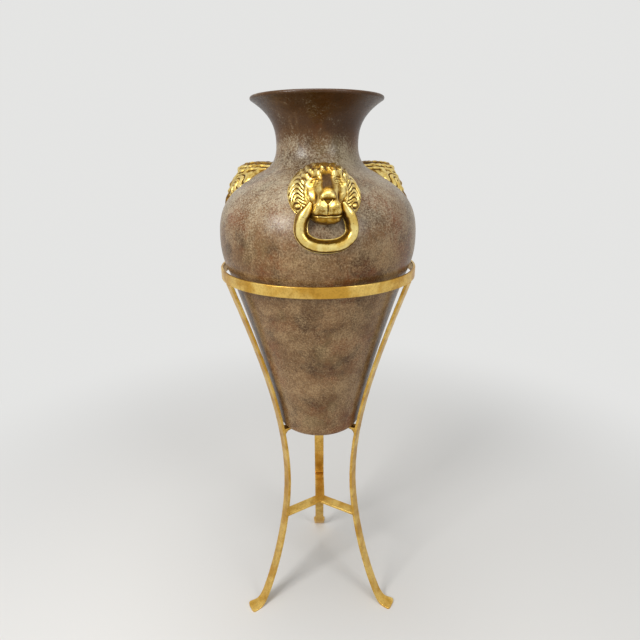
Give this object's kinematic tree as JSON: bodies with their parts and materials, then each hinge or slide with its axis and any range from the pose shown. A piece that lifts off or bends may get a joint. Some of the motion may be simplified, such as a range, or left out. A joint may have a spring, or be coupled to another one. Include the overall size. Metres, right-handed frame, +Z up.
{
  "type": "amphora vase on tripod stand",
  "caption": "Tall hollow floor vase with flared lip, lion-head reliefs and relief rings on its shoulder, lifting out of a wrought-iron tripod with hoop, curved legs and Y brace.",
  "frame": {"origin": "on the floor under the middle of the whole object's box; the vessel's axis stands about 10 mm behind it, because the front lion head reaches furthest", "axes": "+Z up along the vessel's axis, the front lion head towards -Y, one leg straight back along +Y"},
  "size_m": [0.41, 0.4388, 1.1982],
  "materials": {
    "earthenware": "fired earthenware with a mottled taupe and rust patina, satin",
    "gold_leaf": "gold leaf over earthenware with brown patina in the hollows",
    "gilt_iron": "gilt paint on flat-bar iron, worn at the edges"
  },
  "bodies": {
    "stand": {"hoop": "gilt_iron", "leg_front_left": "gilt_iron", "leg_front_right": "gilt_iron", "leg_rear": "gilt_iron", "brace_front_left": "gilt_iron", "brace_front_right": "gilt_iron", "brace_rear": "gilt_iron", "rest_lug_front_left": "gilt_iron", "rest_lug_front_right": "gilt_iron", "rest_lug_rear": "gilt_iron"},
    "vase": {"vase_body": "earthenware", "lion_mask_front": "gold_leaf", "lion_mask_rear_left": "gold_leaf", "lion_mask_rear_right": "gold_leaf", "ring_front": "gold_leaf", "ring_rear_left": "gold_leaf", "ring_rear_right": "gold_leaf"}
  },
  "joints": [
    {"name": "vase_lift", "type": "slide", "parent": "stand", "child": "vase", "axis": [0, 0, 1], "range_m": [0, 0.4]}
  ]
}
